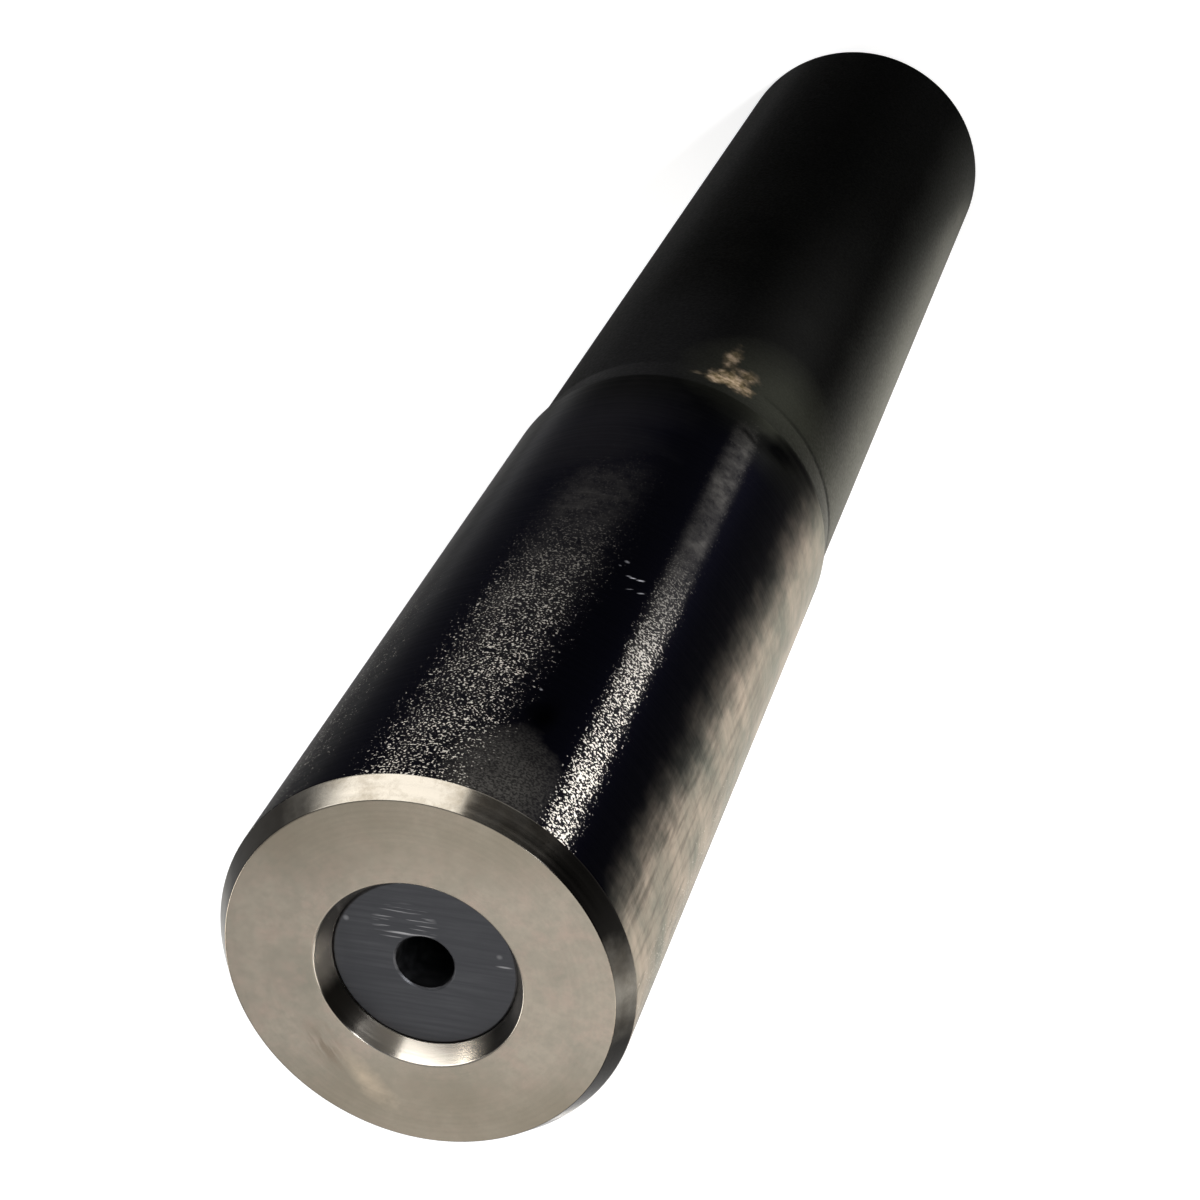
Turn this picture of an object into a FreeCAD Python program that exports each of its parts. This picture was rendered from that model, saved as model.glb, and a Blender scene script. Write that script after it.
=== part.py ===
import FreeCAD, Part
import os
import Sketcher

# Straight-shank modular tool extension with coolant through its middle.
# It stands on its coupling end: the neck is below, the shank that a chuck grips is above, and +Z runs along
# the axis. The origin is the centre of the coupling's contact face. Sizes are in millimetres and degrees.

SIZES = [
    ("overall_length", 116.0, "contact face to shank end face"),
    ("shank_diameter", 20.0, "ground diameter that the chuck grips"),
    ("shank_length", 50.0, "shank end face to the neck"),
    ("shank_lead_out", 2.8, "length of the shallow taper from shank to neck"),
    ("neck_relief", 0.3, "how far the neck's surface lies below the shank's"),
    ("end_chamfer_width", 0.7, "radial width of the shank's end chamfer"),
    ("end_chamfer_length", 1.2, "axial length of the shank's end chamfer"),
    ("foot_chamfer", 0.4, "edge break round the contact face"),
    ("cone_width", 0.54, "radial width of the cone in the shank end"),
    ("cone_depth", 1.05, "depth of that cone, down to the plug's face"),
    ("plug_diameter", 8.9, "outside of the coolant plug"),
    ("plug_length", 7.0, "length of the coolant plug"),
    ("plug_clearance", 0.01, "radial gap between plug and socket"),
    ("plug_edge_break", 0.1, "edge break at both ends of the plug"),
    ("plug_hole_diameter", 2.8, "metering hole in the plug"),
    ("plug_hole_chamfer", 0.1, "edge break at both mouths of the metering hole"),
    ("channel_diameter", 4.0, "coolant channel between plug and coupling"),
    ("thread_diameter", 10.0, "outer diameter of the coupling's thread"),
    ("thread_height", 0.75, "radial height of the thread's form"),
    ("thread_length", 14.5, "pilot bore's floor to the end of the thread"),
    ("tapping_run_out", 3.0, "drilled length beyond the thread"),
    ("drill_point_angle", 118.0, "included angle of the drilled bottom"),
    ("pilot_step", 0.25, "how far the pilot bore's wall lies outside the thread"),
    ("pilot_depth", 5.5, "contact face to the floor of the pilot bore"),
    ("pilot_chamfer", 0.3, "edge break at the pilot bore's mouth"),
]

# What a sketch's constraints call the points of a line or circle, and the sketch's own origin and axes.
START, END, CENTRE = range(1, 4)
HORIZONTAL_AXIS, VERTICAL_AXIS = -1, -2
ORIGIN = HORIZONTAL_AXIS

FULL_TURN = 360.0

# Radii and heights that more than one outline needs.
SHANK_RADIUS = "Sizes.shank_diameter / 2"
NECK_RADIUS = "Sizes.shank_diameter / 2 - Sizes.neck_relief"
NECK_TOP = "Sizes.overall_length - Sizes.shank_length"
CHANNEL_RADIUS = "Sizes.channel_diameter / 2"
THREAD_RADIUS = "Sizes.thread_diameter / 2"
TAPPING_RADIUS = "Sizes.thread_diameter / 2 - Sizes.thread_height"
PILOT_RADIUS = "Sizes.thread_diameter / 2 + Sizes.pilot_step"
THREAD_END = "Sizes.pilot_depth + Sizes.thread_length"
TAPPING_END = f"{THREAD_END} + Sizes.tapping_run_out"
POINT_LENGTH = f"({TAPPING_RADIUS} - {CHANNEL_RADIUS}) / tan(Sizes.drill_point_angle / 2)"
PLUG_RADIUS = "Sizes.plug_diameter / 2"
SOCKET_RADIUS = "Sizes.plug_diameter / 2 + Sizes.plug_clearance"
PLUG_TOP = "Sizes.overall_length - Sizes.cone_depth"
PLUG_BOTTOM = f"{PLUG_TOP} - Sizes.plug_length"


def make_sheet(doc):
    """The driving sizes, one a row: name, value, note. The value's cell carries the name as its alias."""
    sheet = doc.addObject("Spreadsheet::Sheet", "Sizes")
    for row, (alias, value, note) in enumerate(SIZES, start=1):
        sheet.set(f"A{row}", alias)
        sheet.set(f"B{row}", str(value))
        sheet.set(f"C{row}", note)
        sheet.setAlias(f"B{row}", alias)
    doc.recompute()
    return sheet


def new_sketch(body, name, plane):
    """A sketch on one of the body's own origin planes."""
    sketch = body.newObject("Sketcher::SketchObject", name)
    support = next(feature for feature in body.Origin.OriginFeatures if feature.Role == plane)
    sketch.AttachmentSupport = [(support, "")]
    sketch.MapMode = "FlatFace"
    return sketch


def tie(sketch, line, kind, axis, corner, expression):
    """Ties the start of a line to the sheet in one direction, or to the axis where its place there is 0."""
    if expression == "0":
        sketch.addConstraint(Sketcher.Constraint("PointOnObject", line, START, axis))
        return
    value = sketch.evalExpression(expression)
    index = sketch.addConstraint(Sketcher.Constraint(kind, ORIGIN, START, line, START, value))
    name = f"{corner}_{kind[-1].lower()}"
    sketch.renameConstraint(index, name)
    sketch.setExpression(f"Constraints.{name}", expression)


def half_outline(body, name, corners):
    """A closed outline beside the Z axis. A corner is its name, then its radius and height as expressions."""
    sketch = new_sketch(body, name, "XZ_Plane")
    places = [
        FreeCAD.Vector(sketch.evalExpression(radius), sketch.evalExpression(height), 0)
        for _, radius, height in corners
    ]
    for here, there in zip(places, places[1:] + places[:1]):
        sketch.addGeometry(Part.LineSegment(here, there))
    for line in range(len(corners)):
        following = (line + 1) % len(corners)
        sketch.addConstraint(Sketcher.Constraint("Coincident", line, END, following, START))
    for line, (corner, radius, height) in enumerate(corners):
        tie(sketch, line, "DistanceX", VERTICAL_AXIS, corner, radius)
        tie(sketch, line, "DistanceY", HORIZONTAL_AXIS, corner, height)
    return sketch


def turn(body, kind, name, outline):
    """A full turn of an outline about Z: a Revolution adds it, a Groove cuts it."""
    feature = body.newObject(f"PartDesign::{kind}", name)
    feature.Profile = outline
    feature.ReferenceAxis = (outline, ["V_Axis"])
    feature.Angle = FULL_TURN
    body.Document.recompute()
    return feature


def turn_bar(body):
    """The outside, turned from one bar: contact face, neck, lead-out taper, shank, end chamfer, end face."""
    outline = half_outline(
        body,
        "bar_outline",
        [
            ("foot_centre", "0", "0"),
            ("foot_rim", f"{NECK_RADIUS} - Sizes.foot_chamfer", "0"),
            ("neck_bottom", NECK_RADIUS, "Sizes.foot_chamfer"),
            ("neck_top", NECK_RADIUS, NECK_TOP),
            ("shank_bottom", SHANK_RADIUS, f"{NECK_TOP} + Sizes.shank_lead_out"),
            ("shank_top", SHANK_RADIUS, "Sizes.overall_length - Sizes.end_chamfer_length"),
            ("end_rim", f"{SHANK_RADIUS} - Sizes.end_chamfer_width", "Sizes.overall_length"),
            ("end_centre", "0", "Sizes.overall_length"),
        ],
    )
    return turn(body, "Revolution", "turned_bar", outline)


def bore_coupling(body):
    """The tool head's seat, bored from below: edge break, pilot bore, thread, tapping drill and its point.

    The thread's wall lies at its outer diameter, so its ridges are left off this solid.
    """
    outline = half_outline(
        body,
        "coupling_outline",
        [
            ("mouth_centre", "0", "0"),
            ("mouth_rim", f"{PILOT_RADIUS} + Sizes.pilot_chamfer", "0"),
            ("pilot_mouth", PILOT_RADIUS, "Sizes.pilot_chamfer"),
            ("pilot_floor", PILOT_RADIUS, "Sizes.pilot_depth"),
            ("thread_mouth", THREAD_RADIUS, "Sizes.pilot_depth"),
            ("thread_end", THREAD_RADIUS, THREAD_END),
            ("tapping_mouth", TAPPING_RADIUS, THREAD_END),
            ("tapping_end", TAPPING_RADIUS, TAPPING_END),
            ("point_rim", CHANNEL_RADIUS, f"{TAPPING_END} + {POINT_LENGTH}"),
            ("point_centre", "0", f"{TAPPING_END} + {POINT_LENGTH}"),
        ],
    )
    return turn(body, "Groove", "coupling_bore", outline)


def bore_plug_socket(body):
    """The plug's seat in the shank end: a lead-in cone, then a straight bore with a flat floor."""
    outline = half_outline(
        body,
        "plug_socket_outline",
        [
            ("top_centre", "0", "Sizes.overall_length"),
            ("cone_mouth", f"{SOCKET_RADIUS} + Sizes.cone_width", "Sizes.overall_length"),
            ("cone_floor", SOCKET_RADIUS, PLUG_TOP),
            ("socket_floor", SOCKET_RADIUS, PLUG_BOTTOM),
            ("floor_centre", "0", PLUG_BOTTOM),
        ],
    )
    return turn(body, "Groove", "plug_socket", outline)


def drill_channel(body):
    """One drilling from end to end, which the coupling bore and the plug's socket open out of."""
    sketch = new_sketch(body, "channel_circle", "XY_Plane")
    radius = sketch.evalExpression(CHANNEL_RADIUS)
    sketch.addGeometry(Part.Circle(FreeCAD.Vector(0, 0, 0), FreeCAD.Vector(0, 0, 1), radius))
    sketch.addConstraint(Sketcher.Constraint("Coincident", 0, CENTRE, ORIGIN, START))
    index = sketch.addConstraint(Sketcher.Constraint("Radius", 0, radius))
    sketch.renameConstraint(index, "channel_radius")
    sketch.setExpression("Constraints.channel_radius", CHANNEL_RADIUS)
    channel = body.newObject("PartDesign::Pocket", "coolant_channel")
    channel.Profile = sketch
    channel.Type = "Length"
    channel.setExpression("Length", "Sizes.overall_length")
    channel.Reversed = True
    body.Document.recompute()
    return channel


def make_extension_body(doc):
    """The steel bar, one piece. Each cut has to take material away, so the volumes are compared."""
    body = doc.addObject("PartDesign::Body", "extension_body")
    body.Label = "extension_body"
    volume = turn_bar(body).Shape.Volume
    for cut in (bore_coupling, bore_plug_socket, drill_channel):
        feature = cut(body)
        if not feature.Shape.Volume < volume:
            raise RuntimeError(f"{feature.Name} cuts nothing")
        volume = feature.Shape.Volume
    return body


def make_coolant_plug(doc):
    """The dark bush fixed in the shank end. It stands on its socket's floor, its face at the cone's bottom."""
    body = doc.addObject("PartDesign::Body", "coolant_plug")
    body.Label = "coolant_plug"
    hole = "Sizes.plug_hole_diameter / 2"
    outline = half_outline(
        body,
        "plug_outline",
        [
            ("hole_bottom_rim", f"{hole} + Sizes.plug_hole_chamfer", "0"),
            ("bottom_rim", f"{PLUG_RADIUS} - Sizes.plug_edge_break", "0"),
            ("side_bottom", PLUG_RADIUS, "Sizes.plug_edge_break"),
            ("side_top", PLUG_RADIUS, "Sizes.plug_length - Sizes.plug_edge_break"),
            ("top_rim", f"{PLUG_RADIUS} - Sizes.plug_edge_break", "Sizes.plug_length"),
            ("hole_top_rim", f"{hole} + Sizes.plug_hole_chamfer", "Sizes.plug_length"),
            ("hole_top", hole, "Sizes.plug_length - Sizes.plug_hole_chamfer"),
            ("hole_bottom", hole, "Sizes.plug_hole_chamfer"),
        ],
    )
    turn(body, "Revolution", "turned_plug", outline)
    body.setExpression("Placement.Base.z", PLUG_BOTTOM)
    return body


def check(doc, bodies):
    """Stops the build if an object failed or a sub-part isn't one valid solid."""
    for item in doc.Objects:
        if "Invalid" in item.State or "Error" in item.State:
            raise RuntimeError(f"{item.Name} failed: {item.State}")
    for body in bodies:
        shape = body.Shape
        if shape.isNull() or not shape.isValid() or len(shape.Solids) != 1:
            raise RuntimeError(f"{body.Label} is not one valid solid")


def export(bodies):
    os.makedirs("parts", exist_ok=True)
    for body in bodies:
        body.Shape.exportStep(os.path.join("parts", f"{body.Label}.step"))
        print(f"{body.Label}: {body.Shape.Volume:.1f} mm3, {len(body.Shape.Faces)} faces")


document = FreeCAD.newDocument("tool_extension")
make_sheet(document)
sub_parts = [make_extension_body(document), make_coolant_plug(document)]
document.recompute()
check(document, sub_parts)
export(sub_parts)
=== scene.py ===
import math

import bpy
from mathutils import Matrix, Vector


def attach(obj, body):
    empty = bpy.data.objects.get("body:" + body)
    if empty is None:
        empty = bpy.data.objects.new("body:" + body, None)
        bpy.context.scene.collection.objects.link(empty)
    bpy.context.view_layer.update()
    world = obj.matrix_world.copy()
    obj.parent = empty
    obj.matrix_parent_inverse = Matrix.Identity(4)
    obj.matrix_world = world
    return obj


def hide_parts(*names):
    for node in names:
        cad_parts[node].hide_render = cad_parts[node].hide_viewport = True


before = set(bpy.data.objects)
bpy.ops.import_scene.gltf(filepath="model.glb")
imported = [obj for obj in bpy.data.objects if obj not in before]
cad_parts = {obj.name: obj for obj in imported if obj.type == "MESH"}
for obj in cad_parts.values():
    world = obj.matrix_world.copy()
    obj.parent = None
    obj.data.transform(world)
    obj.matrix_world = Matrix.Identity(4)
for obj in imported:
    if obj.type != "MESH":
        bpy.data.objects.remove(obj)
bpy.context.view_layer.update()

# The extension bar: one round steel bar, turned, ground on the shank and blackened outside, then
# faced and chamfered bright at the shank end. The other end has a pilot bore and an M10 thread
# for a tool head, cut after the blackening, and a coolant channel joins the two ends.
MM = 0.001
OVERALL_LENGTH = 116.0 * MM
SHANK_RADIUS = 10.0 * MM
NECK_RADIUS = 9.7 * MM
SHANK_LENGTH = 50.0 * MM
LEAD_OUT = 2.8 * MM
END_CHAMFER_WIDTH = 0.7 * MM
END_CHAMFER_LENGTH = 1.2 * MM
FOOT_CHAMFER = 0.4 * MM
CONE_WIDTH = 0.54 * MM
CONE_DEPTH = 1.05 * MM
SOCKET_RADIUS = 4.46 * MM
PLUG_LENGTH = 7.0 * MM
CHANNEL_RADIUS = 2.0 * MM
THREAD_RADIUS = 5.0 * MM
THREAD_HEIGHT = 0.75 * MM
THREAD_PITCH = 1.5 * MM
THREAD_LENGTH = 14.5 * MM
TAPPING_RUN_OUT = 3.0 * MM
PILOT_RADIUS = 5.25 * MM
PILOT_DEPTH = 5.5 * MM
PILOT_CHAMFER = 0.3 * MM
DRILL_HALF_ANGLE = math.radians(59.0)
THREAD_CREST_HALF = 1.0 / 16.0
THREAD_FLANK_END = 3.0 / 8.0
THREAD_ROWS_PER_PITCH = 12
THREAD_LEAD_IN_ROWS = 8
EDGE_ROUND = 0.06 * MM
LARGEST_SETBACK = 0.3
STEPS_ROUND = 288
LEAST_THREAD_SHARE = 0.001
SEAM_REACH = 1e-6

STEP_HEIGHT = OVERALL_LENGTH - SHANK_LENGTH
CHAMFER_START = OVERALL_LENGTH - END_CHAMFER_LENGTH
PLUG_FACE = OVERALL_LENGTH - CONE_DEPTH
SOCKET_FLOOR = PLUG_FACE - PLUG_LENGTH
BORE_RADIUS = THREAD_RADIUS - THREAD_HEIGHT
THREAD_TOP = PILOT_DEPTH + THREAD_LENGTH
TAPPING_TOP = THREAD_TOP + TAPPING_RUN_OUT
DRILL_POINT_TOP = TAPPING_TOP + (BORE_RADIUS - CHANNEL_RADIUS) / math.tan(DRILL_HALF_ANGLE)
THREAD_LEAD_IN = PILOT_RADIUS - BORE_RADIUS
CONE_RADIUS = SOCKET_RADIUS + CONE_WIDTH


def softened(corners, rounding, arc_steps=4):
    """Rounds the edges of a closed outline, given as corners (radius, height, rounding factor)."""
    points = []
    for index, (radius, height, factor) in enumerate(corners):
        here = Vector((radius, height))
        before = Vector(corners[index - 1][:2]) - here
        after = Vector(corners[(index + 1) % len(corners)][:2]) - here
        if factor == 0.0:
            points.append(here)
            continue
        shorter_side = min(before.length, after.length)
        setback = min(rounding * factor, LARGEST_SETBACK * shorter_side)
        start = here + before.normalized() * setback
        end = here + after.normalized() * setback
        points.append(start + before.normalized() * setback)
        for step in range(arc_steps + 1):
            share = step / arc_steps
            points.append(start.lerp(here, share).lerp(here.lerp(end, share), share))
        points.append(end + after.normalized() * setback)
    return points


def outline_object(name, points, thread_shares):
    """A line of points, (radius, 0, height), closed on its first point, with the thread's share."""
    count = len(points)
    closed = points + [points[0]]
    line = bpy.data.meshes.new(name)
    line.from_pydata([(p.x, 0.0, p.y) for p in closed], [(i, i + 1) for i in range(count)], [])
    shares = line.attributes.new("thread_share", "FLOAT", "POINT")
    for item, value in zip(shares.data, thread_shares + [thread_shares[0]]):
        item.value = value
    piece = bpy.data.objects.new(name, line)
    bpy.context.scene.collection.objects.link(piece)
    return piece


def add_node(tree, kind, inputs=None, **settings):
    """A node in a tree; an input is given by name or number, as a value or as a socket to link."""
    new = tree.nodes.new(kind)
    for key, value in settings.items():
        setattr(new, key, value)
    for key, value in (inputs or {}).items():
        if isinstance(value, bpy.types.NodeSocket):
            tree.links.new(value, new.inputs[key])
        else:
            new.inputs[key].default_value = value
    return new


def calculate(tree, operation, *values):
    """A math node's result."""
    inputs = dict(enumerate(values))
    return add_node(tree, "ShaderNodeMath", inputs, operation=operation).outputs[0]


def distance_from(tree, value, middle):
    """How far a value lies from a middle, to either side."""
    return calculate(tree, "ABSOLUTE", calculate(tree, "SUBTRACT", value, middle))


def length_of(tree, vector):
    """A vector's length."""
    return add_node(tree, "ShaderNodeVectorMath", {0: vector}, operation="LENGTH").outputs[1]


def off_axis(tree, split):
    """The distance from the Z axis of a point, split into X, Y and Z."""
    across = add_node(tree, "ShaderNodeCombineXYZ", {"X": split["X"], "Y": split["Y"]})
    return length_of(tree, across.outputs[0])


def turning_tree():
    """The lathe: carries an outline round the Z axis and cuts the thread where it has a share."""
    tree = bpy.data.node_groups.new("turned_from_outline", "GeometryNodeTree")
    for name, kind in (
        ("Outline", "Geometry"),
        ("Steps round", "Int"),
        ("Thread bore radius", "Float"),
        ("Thread height", "Float"),
        ("Thread pitch", "Float"),
        ("Neck top", "Float"),
        ("Shank top", "Float"),
        ("Skin radius", "Float"),
        ("Neck finish", "Material"),
        ("Shank finish", "Material"),
        ("Inside finish", "Material"),
        ("End finish", "Material"),
    ):
        tree.interface.new_socket(name, in_out="INPUT", socket_type="NodeSocket" + kind)
    tree.interface.new_socket("Turned", in_out="OUTPUT", socket_type="NodeSocketGeometry")
    given = tree.nodes.new("NodeGroupInput").outputs

    size = add_node(tree, "GeometryNodeAttributeDomainSize", {0: given["Outline"]})
    rows_round = calculate(tree, "ADD", given["Steps round"], 1.0)
    grid = add_node(
        tree,
        "GeometryNodeMeshGrid",
        {"Vertices X": size.outputs["Point Count"], "Vertices Y": rows_round},
    )
    index = add_node(tree, "GeometryNodeInputIndex").outputs[0]
    row = calculate(tree, "FLOOR", calculate(tree, "DIVIDE", index, rows_round))
    column = calculate(tree, "SUBTRACT", index, calculate(tree, "MULTIPLY", row, rows_round))
    turn_share = calculate(tree, "DIVIDE", column, given["Steps round"])
    wrapped = calculate(tree, "FRACT", turn_share)
    angle = calculate(tree, "MULTIPLY", wrapped, 2.0 * math.pi)

    place = add_node(tree, "GeometryNodeInputPosition").outputs[0]
    point = add_node(
        tree,
        "GeometryNodeSampleIndex",
        {"Geometry": given["Outline"], "Value": place, "Index": row},
        data_type="FLOAT_VECTOR",
    )
    split = add_node(tree, "ShaderNodeSeparateXYZ", {0: point.outputs[0]}).outputs
    share_field = add_node(
        tree, "GeometryNodeInputNamedAttribute", {"Name": "thread_share"}, data_type="FLOAT"
    )
    share = add_node(
        tree,
        "GeometryNodeSampleIndex",
        {"Geometry": given["Outline"], "Value": share_field.outputs[0], "Index": row},
        data_type="FLOAT",
    ).outputs[0]

    pitches = calculate(tree, "DIVIDE", split["Z"], given["Thread pitch"])
    phase = calculate(tree, "FRACT", calculate(tree, "SUBTRACT", pitches, turn_share))
    from_middle = distance_from(tree, phase, 0.5)
    groove = add_node(
        tree,
        "ShaderNodeMapRange",
        {
            "Value": from_middle,
            "From Min": THREAD_CREST_HALF,
            "From Max": THREAD_FLANK_END,
            "To Min": 1.0,
            "To Max": 0.0,
        },
    ).outputs[0]
    cut = calculate(tree, "MULTIPLY", groove, share)
    cut = calculate(tree, "MULTIPLY", cut, given["Thread height"])
    threaded = calculate(tree, "ADD", given["Thread bore radius"], cut)
    has_thread = calculate(tree, "GREATER_THAN", share, LEAST_THREAD_SHARE)
    floor_radius = calculate(tree, "MULTIPLY", threaded, has_thread)
    radius = calculate(tree, "MAXIMUM", split["X"], floor_radius)

    new_place = add_node(
        tree,
        "ShaderNodeCombineXYZ",
        {
            "X": calculate(tree, "MULTIPLY", radius, calculate(tree, "COSINE", angle)),
            "Y": calculate(tree, "MULTIPLY", radius, calculate(tree, "SINE", angle)),
            "Z": split["Z"],
        },
    )
    placed = add_node(
        tree,
        "GeometryNodeSetPosition",
        {"Geometry": grid.outputs["Mesh"], "Position": new_place.outputs[0]},
    )
    merged = add_node(
        tree,
        "GeometryNodeMergeByDistance",
        {"Geometry": placed.outputs[0], "Distance": SEAM_REACH},
    )
    outward = add_node(tree, "GeometryNodeFlipFaces", {"Mesh": merged.outputs[0]})
    smooth = add_node(tree, "GeometryNodeSetShadeSmooth", {"Geometry": outward.outputs[0]})
    real = add_node(tree, "GeometryNodeRealizeInstances", {0: smooth.outputs[0]})

    split = add_node(tree, "ShaderNodeSeparateXYZ", {0: place}).outputs
    from_axis = off_axis(tree, split)
    above_neck = calculate(tree, "GREATER_THAN", split["Z"], given["Neck top"])
    under_skin = calculate(tree, "LESS_THAN", from_axis, given["Skin radius"])
    above_shank = calculate(tree, "GREATER_THAN", split["Z"], given["Shank top"])
    finished = add_node(
        tree,
        "GeometryNodeSetMaterial",
        {"Geometry": real.outputs[0], "Material": given["Neck finish"]},
    )
    for where, finish in (
        (above_neck, "Shank finish"),
        (under_skin, "Inside finish"),
        (above_shank, "End finish"),
    ):
        finished = add_node(
            tree,
            "GeometryNodeSetMaterial",
            {"Geometry": finished.outputs[0], "Selection": where, "Material": given[finish]},
        )
    result = tree.nodes.new("NodeGroupOutput")
    tree.links.new(finished.outputs[0], result.inputs["Turned"])
    return tree


def turn_on_lathe(piece, tree, values):
    """Runs the tree on a piece and leaves the result as its plain mesh."""
    modifier = piece.modifiers.new("turning", "NODES")
    modifier.node_group = tree
    for item in tree.interface.items_tree:
        if item.name in values:
            modifier[item.identifier] = values[item.name]
    graph = bpy.context.evaluated_depsgraph_get()
    turned = bpy.data.meshes.new_from_object(piece.evaluated_get(graph))
    piece.modifiers.remove(modifier)
    piece.data = turned
    return piece


DUST_SPREAD = 0.19
QUARTER_TURN = 0.25
NOISE_RANGE = (0.3, 0.7)
NOISE_MIDDLE = (0.35, 0.65)
OVAL_SOFT_EDGE = (1.05, 0.25)


def new_finish(name):
    """A material, its tree, its metal shader, and the place of a point on the object."""
    finish = bpy.data.materials.new(name)
    finish.use_nodes = True
    tree = finish.node_tree
    place = add_node(tree, "ShaderNodeTexCoord").outputs["Object"]
    return finish, tree, tree.nodes["Principled BSDF"], place


def set_metal(tree, shader, colour, rough, edge_tint=1.0):
    """A metal with a colour, a roughness and a tint of its shine at grazing views."""
    tree.links.new(colour, shader.inputs["Base Color"])
    tree.links.new(rough, shader.inputs["Roughness"])
    shader.inputs["Metallic"].default_value = 1.0
    shader.inputs["Specular Tint"].default_value = (edge_tint, edge_tint, edge_tint, 1.0)


def set_dust(shader, weight):
    """A thin dust sheen."""
    shader.inputs["Sheen Weight"].default_value = weight
    shader.inputs["Sheen Roughness"].default_value = DUST_SPREAD


def brush_round(tree, shader, anisotropy):
    """Stretches the shine along the axis, as fine marks round it do."""
    shader.inputs["Anisotropic"].default_value = anisotropy
    shader.inputs["Anisotropic Rotation"].default_value = QUARTER_TURN
    tangent = add_node(tree, "ShaderNodeTangent", direction_type="RADIAL", axis="Z")
    tree.links.new(tangent.outputs[0], shader.inputs["Tangent"])


def set_relief(tree, shader, relief, strength, distance):
    """A fine relief on the surface."""
    inputs = {"Height": relief, "Strength": strength, "Distance": distance}
    bump = add_node(tree, "ShaderNodeBump", inputs)
    tree.links.new(bump.outputs[0], shader.inputs["Normal"])


def noise(tree, place, scale, detail=2.0, roughness=0.5, stretch=(1.0, 1.0, 1.0), turn=0.0):
    """A noise texture's value: grains a metre, times a stretch along axes turned about Z."""
    sizes = tuple(1.0 / value for value in stretch)
    mapped = add_node(
        tree,
        "ShaderNodeMapping",
        {"Vector": place, "Scale": sizes, "Rotation": (0.0, 0.0, turn)},
        vector_type="TEXTURE",
    )
    texture = add_node(
        tree,
        "ShaderNodeTexNoise",
        {"Vector": mapped.outputs[0], "Scale": scale, "Detail": detail, "Roughness": roughness},
    )
    return texture.outputs[0]


def ramp(tree, value, low, high, from_value=0.0, to_value=1.0, kind="LINEAR"):
    """A value carried from one range to another, held at both ends."""
    inputs = {
        "Value": value,
        "From Min": low,
        "From Max": high,
        "To Min": from_value,
        "To Max": to_value,
    }
    return add_node(tree, "ShaderNodeMapRange", inputs, interpolation_type=kind).outputs[0]


def smooth_ramp(tree, value, low, high, from_value=0.0, to_value=1.0):
    """A ramp that starts and ends softly."""
    return ramp(tree, value, low, high, from_value, to_value, "SMOOTHSTEP")


def spread(tree, value, from_value, to_value):
    """A noise's usual values carried to a range."""
    return ramp(tree, value, *NOISE_RANGE, from_value, to_value)


def blend_colours(tree, share, first, second):
    """A colour between two, each a tuple or a socket."""
    mix = add_node(tree, "ShaderNodeMix", {0: share}, data_type="RGBA")
    for number, colour in ((6, first), (7, second)):
        if isinstance(colour, bpy.types.NodeSocket):
            tree.links.new(colour, mix.inputs[number])
        else:
            mix.inputs[number].default_value = (*colour, 1.0)
    return mix.outputs[2]


def round_arc(degrees):
    """An angle round the bar as a length of arc on the shank."""
    return math.radians(degrees) * SHANK_RADIUS


def on_the_round(tree, place):
    """Where a point lies on the round side: its arc from +Y towards +X, and its height."""
    split = add_node(tree, "ShaderNodeSeparateXYZ", {0: place}).outputs
    angle = calculate(tree, "ARCTAN2", split["X"], split["Y"])
    return calculate(tree, "MULTIPLY", angle, SHANK_RADIUS), split["Z"]


def oval(tree, arc, height, at_degrees, at_height, half_arc, half_height, tilt, wander):
    """A soft oval on the round side: 1 in its middle, 0 from its edge on."""
    across = calculate(tree, "SUBTRACT", arc, round_arc(at_degrees))
    along = calculate(tree, "SUBTRACT", height, at_height)
    turned_across = calculate(
        tree,
        "ADD",
        calculate(tree, "MULTIPLY", across, math.cos(tilt)),
        calculate(tree, "MULTIPLY", along, math.sin(tilt)),
    )
    turned_along = calculate(
        tree,
        "SUBTRACT",
        calculate(tree, "MULTIPLY", along, math.cos(tilt)),
        calculate(tree, "MULTIPLY", across, math.sin(tilt)),
    )
    first = calculate(tree, "POWER", calculate(tree, "DIVIDE", turned_across, half_arc), 2.0)
    second = calculate(tree, "POWER", calculate(tree, "DIVIDE", turned_along, half_height), 2.0)
    distance = calculate(tree, "SQRT", calculate(tree, "ADD", first, second))
    if wander is not None:
        distance = calculate(tree, "ADD", distance, wander)
    return ramp(tree, distance, *OVAL_SOFT_EDGE)


def strongest_oval(tree, arc, height, ovals, wander=None):
    """The strongest of several soft ovals at each point of the round side."""
    strongest = 0.0
    for at_degrees, at_height, half_arc, half_height, tilt, strength in ovals:
        share = oval(tree, arc, height, at_degrees, at_height, half_arc, half_height, tilt, wander)
        share = calculate(tree, "MULTIPLY", share, strength)
        strongest = calculate(tree, "MAXIMUM", share, strongest)
    return strongest


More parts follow.
